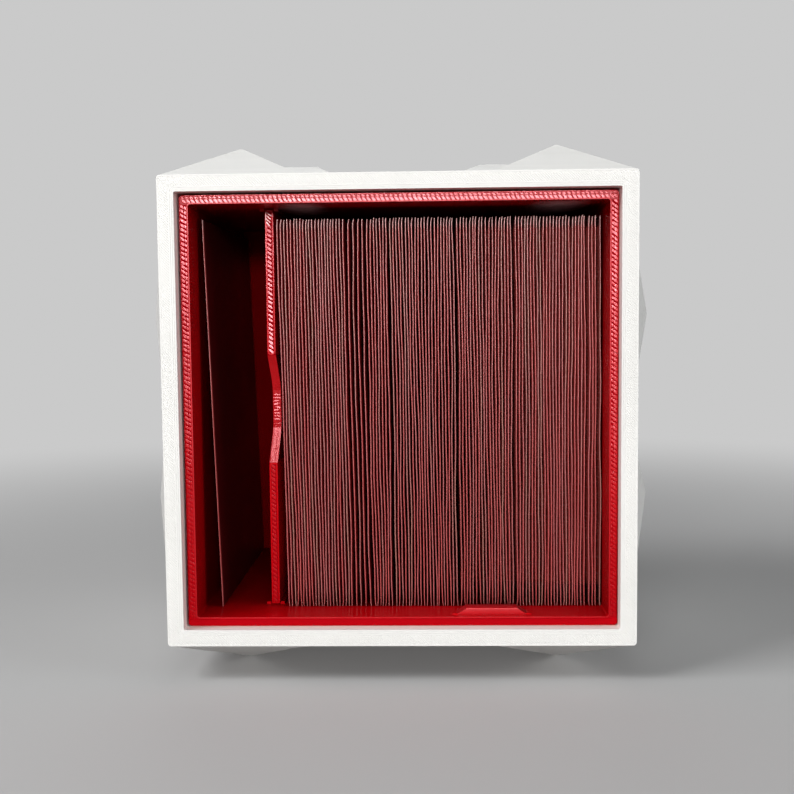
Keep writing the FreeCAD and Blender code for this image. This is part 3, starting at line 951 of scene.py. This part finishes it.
def add_painted_highlight_strokes(panel, low, high, centre):
    """The bent end of the divider's last layer: pale strokes, a painted highlight, that lean to one side.
    """
    left = low.x + WHITE_STROKE
    for number in range(WHITE_STROKES):
        z = high.z - WHITE_START - WHITE_PITCH * number
        right = centre + (0.45 - 0.12 * number)
        add_stroke(panel, (left, z), (right, z - WHITE_DROP), low.y, RIM_SKIN_DEPTH, WHITE_STROKE,
                   kind=PALE)
    start, stop = ((left - 0.1, high.z - away) for away in WHITE_SIDE)
    add_stroke(panel, start, stop, low.y, RIM_SKIN_DEPTH, WHITE_STROKE * 0.8, kind=PALE)


# --- cards ---

# One sleeved card: where its foot and its top stand in the CAD, its node's box, and how full it is.
Sleeve = namedtuple("Sleeve", "foot top low high plump")


# The materials of a sleeve, in the order in which make_cards lists them.
RIM, BACK, FRONT, STOCK = range(4)


def sleeves_of(node):
    """The sleeved cards in a CAD node, from left to right."""
    low, high = node_box(node)
    middle = (low.z + high.z) / 2
    places = [vertex.co / MM for vertex in frame["nodes"][node].data.vertices]
    feet = distinct([place.x for place in places if place.z < middle])
    tops = distinct([place.x for place in places if place.z > middle])
    plump = SIDE_PLUMP if node == "side_card" else 1.0
    middles = [[(left + right) / 2 for left, right in zip(row[::2], row[1::2])] for row in (feet, tops)]
    return [Sleeve(foot, top, low, high, plump) for foot, top in zip(*middles)]


def distinct(values):
    found = []
    for value in sorted(values):
        if not found or value - found[-1] > NEAR:
            found.append(value)
    return found


# Half the thickness of a sleeve against the distance from its front rim.  The first points are the
# welded rim itself.  SLEEVE_HEIGHTS are the heights at which its outline is laid.
SLEEVE_PROFILE = ((0.0, 0.07), (0.03, 0.105), (0.10, 0.125), (1.0, 0.13), (1.5, 0.16), (2.4, 0.22),
                  (4.0, 0.235))
EDGE_POINTS = 4
SLEEVE_HEIGHTS = (0.0, 0.35, 0.8, 1.4, 2.4, 4.0, 6.0, 9.0, 13.0,
                  *(17.5 + 4.5 * step for step in range(15)),
                  84.5, 87.5, 89.2, 90.2, 91.0, 91.6, 92.0)


def sleeve_bend(chance, shared, straight):
    """A smooth sideways wander along the height of a card; neighbours share most of it."""
    if straight:
        return lambda height, total: 0.0
    waves = [(chance.uniform(0.02, 0.065), chance.uniform(12, 24), chance.uniform(0, math.tau)),
             (chance.uniform(0.03, 0.075), chance.uniform(30, 55), chance.uniform(0, math.tau))]
    lean = chance.uniform(-0.05, 0.05)
    foot_hook = chance.uniform(-0.16, 0.16)
    top_hook = chance.uniform(0.02, 0.26)

    def bend(height, total):
        value = shared(height) + lean * (height / total - 0.5)
        value += sum(size * math.sin(math.tau * height / length + start) for size, length, start in waves)
        value += foot_hook * max(0.0, 1 - height / 1.8) ** 2
        value += top_hook * max(0.0, 1 - (total - height) / 1.6) ** 2
        return value
    return bend


def add_sleeve(shape, tints, filled, card, number, chance):
    """A closed pouch that is thin at its welded rims and full where the card fills it."""
    total = card.high.z - card.low.z - chance.uniform(0.0, SLEEVE_SPREAD)
    front = card.low.y + chance.uniform(0.0, SLEEVE_SPREAD)
    depth = card.high.y - card.low.y - SLEEVE_SPREAD

    def shared(height):
        return (0.11 * math.sin(number * 0.31 + height / 17.0)
                + 0.07 * math.sin(number * 0.73 - height / 9.5))

    bend = sleeve_bend(chance, shared, card.plump < 1.0)
    start = len(shape.points)
    rings = []
    for share in SLEEVE_HEIGHTS:
        height = share * total / SLEEVE_HEIGHTS[-1]
        fill = min(1.0, 0.55 + 0.45 * height / SLEEVE_FOOT, 0.6 + 0.4 * (total - height) / SLEEVE_MOUTH)
        rings.append(sleeve_ring(card, front, depth, height, total, fill * card.plump, bend, 1.0))
        holds_card = SLEEVE_FOOT <= height <= total - SLEEVE_MOUTH
        filled += [float(holds_card)] * len(rings[-1])
    for level in (0.0, SLEEVE_MOUTH):
        rings.append(sleeve_ring(card, front, depth, total - level, total, LINING_FULL * card.plump,
                                 bend, LINING_SHARE))
        filled += [0.0] * len(rings[-1])
    side_kinds = sleeve_kinds()
    tall = len(SLEEVE_HEIGHTS)
    kinds = [side_kinds] * (tall - 1) + [[RIM] * len(side_kinds)] * 2
    shape.add_rings(rings, kinds=kinds, caps=(RIM, STOCK))
    tints += [chance.uniform(0.05, 0.95)] * (len(shape.points) - start)


def sleeve_ring(card, front, depth, height, total, fill, bend, share):
    """One level of a sleeve, from the front rim along its left face and back along its right one."""
    x = card.foot + (card.top - card.foot) * height / total + bend(height, total)
    z = card.low.z + height
    inset = 0.0 if share == 1.0 else LINING_INSET
    near = [(away * share + inset, half) for away, half in SLEEVE_PROFILE]
    far = [(depth - away, half) for away, half in reversed(near)]
    line = near + far
    left = [(x - half * fill * share, front + away, z) for away, half in line]
    right = [(x + half * fill * share, front + away, z) for away, half in reversed(line)]
    return left + right


def sleeve_kinds():
    """Material of each side of a sleeve's ring."""
    half = 2 * len(SLEEVE_PROFILE)
    on_rim = [side < EDGE_POINTS - 1 or side >= half - EDGE_POINTS for side in range(half)]
    return [RIM if rim else face for face in (FRONT, BACK) for rim in on_rim]


def make_cards():
    """Every sleeved card of the deck, and the one in the side compartment."""
    _, deck_high = node_box("cards_01_02")
    edge, face, stock = sleeve_edge(deck_high.z), sleeve_front(), card_stock()
    red_back = sleeve_back("sleeve_back_red", (0.48, 0.008, 0.016), (0.62, 0.012, 0.022))
    # The side card's back is near black: painted shade of the dark side compartment.
    shade_painted_back = sleeve_back("sleeve_back_painted_shade", (0.042, 0.001, 0.002), (0.058, 0.002, 0.003))
    chance = random.Random(99)
    names = sorted(name for name in frame["nodes"] if name.startswith("cards_")) + ["side_card"]
    number = 0
    for name in names:
        shape = Shape()
        tints = []
        filled = []
        for card in sleeves_of(name):
            number += 1
            add_sleeve(shape, tints, filled, card, number, chance)
        back = shade_painted_back if name == "side_card" else red_back
        piece = shape.make("sleeve_" + name, [edge, back, face, stock], 50)
        for attribute_name, values in (("tint", tints), ("filled", filled)):
            attribute = piece.data.attributes.new(attribute_name, "FLOAT", "POINT")
            attribute.data.foreach_set("value", values)
        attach(piece, frame["nodes"][name]["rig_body"])
        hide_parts(name)


# --- floor, light and camera ---

# The floor reaches this far from the middle, and fades into the backdrop between two distances, all
# in metres.  The colours are what the camera sees, and what the object gets from it.
FLOOR_REACH = 4.0
FLOOR_FADE = (0.13, 0.5)
FLOOR_SEEN = (0.59, 0.59, 0.59)
FLOOR_BOUNCE = (0.16, 0.14, 0.14)
BACKDROP = (0.59, 0.59, 0.59)
WORLD_LIGHT = (0.05, 0.05, 0.053)


def seen_ray(tree):
    """1 for what the camera sees by itself, in a reflection or through glass, and 0 elsewhere."""
    path = tree.nodes.new("ShaderNodeLightPath")
    total = path.outputs["Is Camera Ray"]
    for name in ("Is Glossy Ray", "Is Transmission Ray"):
        item = tree.nodes.new("ShaderNodeMath")
        item.operation = "MAXIMUM"
        tree.links.new(total, item.inputs[0])
        tree.links.new(path.outputs[name], item.inputs[1])
        total = item.outputs[0]
    return total


def make_floor():
    """A pale floor that keeps the box's shadow and fades into the backdrop away from it."""
    half = FLOOR_REACH
    mesh = bpy.data.meshes.new("floor")
    mesh.from_pydata(flat_ring(-half, half, -half, half, 0), [], [(0, 1, 2, 3)])
    floor = new_object("floor", mesh)

    shader = Shader("floor")
    seen = seen_ray(shader.tree)
    paint = shader.mix(seen, FLOOR_BOUNCE, FLOOR_SEEN)
    shader.set(Base_Color=paint, Roughness=0.9, Specular_IOR_Level=0.0)
    away = shader.add("ShaderNodeVectorMath", {0: shader.place}, operation="LENGTH").outputs["Value"]
    fade = shader.times(seen, shader.ramp(away, *FLOOR_FADE, smooth=True))
    glow = shader.add("ShaderNodeEmission", {"Color": BACKDROP, "Strength": 1.0})
    blend = shader.add("ShaderNodeMixShader",
                       {"Fac": fade, 1: shader.surface.outputs[0], 2: glow.outputs[0]})
    shader.put(shader.tree.nodes["Material Output"].inputs["Surface"], blend.outputs[0])
    mesh.materials.append(shader.material)


def make_world():
    world = bpy.data.worlds.new("studio")
    bpy.context.scene.world = world
    world.use_nodes = True
    tree = world.node_tree
    background = tree.nodes["Background"]
    mix = tree.nodes.new("ShaderNodeMix")
    mix.data_type = "RGBA"
    tree.links.new(seen_ray(tree), mix.inputs["Factor"])
    mix.inputs[6].default_value = opaque(WORLD_LIGHT)
    mix.inputs[7].default_value = opaque(BACKDROP)
    tree.links.new(mix.outputs[2], background.inputs["Color"])


# The lamps, which all face one point: name, place, width, height, power and colour, in metres.
LIT_POINT = (0.0, 0.0, 0.062)
LAMPS = (("front_softbox", (-0.03, -1.04, 0.236), 0.64, 0.1, 8.45, (1.0, 0.99, 0.975)),
         ("front_fill", (0.02, -1.02, 0.09), 0.5, 0.15, 0.35, (1.0, 0.98, 0.965)),
         ("key_softbox", (-0.72, -0.36, 0.78), 0.5, 0.5, 6.0, (1.0, 1.0, 1.0)),
         ("right_softbox", (0.92, -0.30, 0.35), 0.5, 0.5, 2.6, (0.95, 0.99, 1.0)),
         ("back_softbox", (-0.2, 1.1, 0.5), 0.7, 0.5, 2.2, (1.0, 1.0, 1.0)))


def add_lamp(name, place, width, height, power, colour):
    data = bpy.data.lights.new(name, "AREA")
    data.shape = "RECTANGLE"
    data.size = width
    data.size_y = height
    data.energy = power
    data.color = colour
    lamp = new_object(name, data)
    lamp.location = place
    lamp.rotation_mode = "QUATERNION"
    lamp.rotation_quaternion = (Vector(LIT_POINT) - Vector(place)).to_track_quat("-Z", "Y")
    lamp.visible_camera = False


# The camera, fitted to the corners of the frame, the rim, the divider and the deck.
CAMERA_PLACE = (6.0, -282.6, 82.6)
CAMERA_PITCH = 4.121
CAMERA_YAW = -1.517
CAMERA_ROLL = -0.567
CAMERA_LENS = 48.73


def make_camera():
    data = bpy.data.cameras.new("camera")
    data.lens = CAMERA_LENS
    data.sensor_width = 36.0
    data.clip_start = 0.01
    data.clip_end = 20.0
    camera = new_object("camera", data)
    look = (Matrix.Rotation(-math.radians(CAMERA_YAW), 4, "Z")
            @ Matrix.Rotation(math.radians(90 - CAMERA_PITCH), 4, "X")
            @ Matrix.Rotation(math.radians(CAMERA_ROLL), 4, "Z"))
    camera.matrix_world = Matrix.Translation([value * MM for value in CAMERA_PLACE]) @ look
    bpy.context.scene.camera = camera


make_camera()
make_world()
make_floor()
for lamp in LAMPS:
    add_lamp(*lamp)
make_case()
reds = red_plastics()
make_tray(reds)
make_divider(reds)
make_cards()
bpy.context.scene.view_settings.view_transform = "Standard"
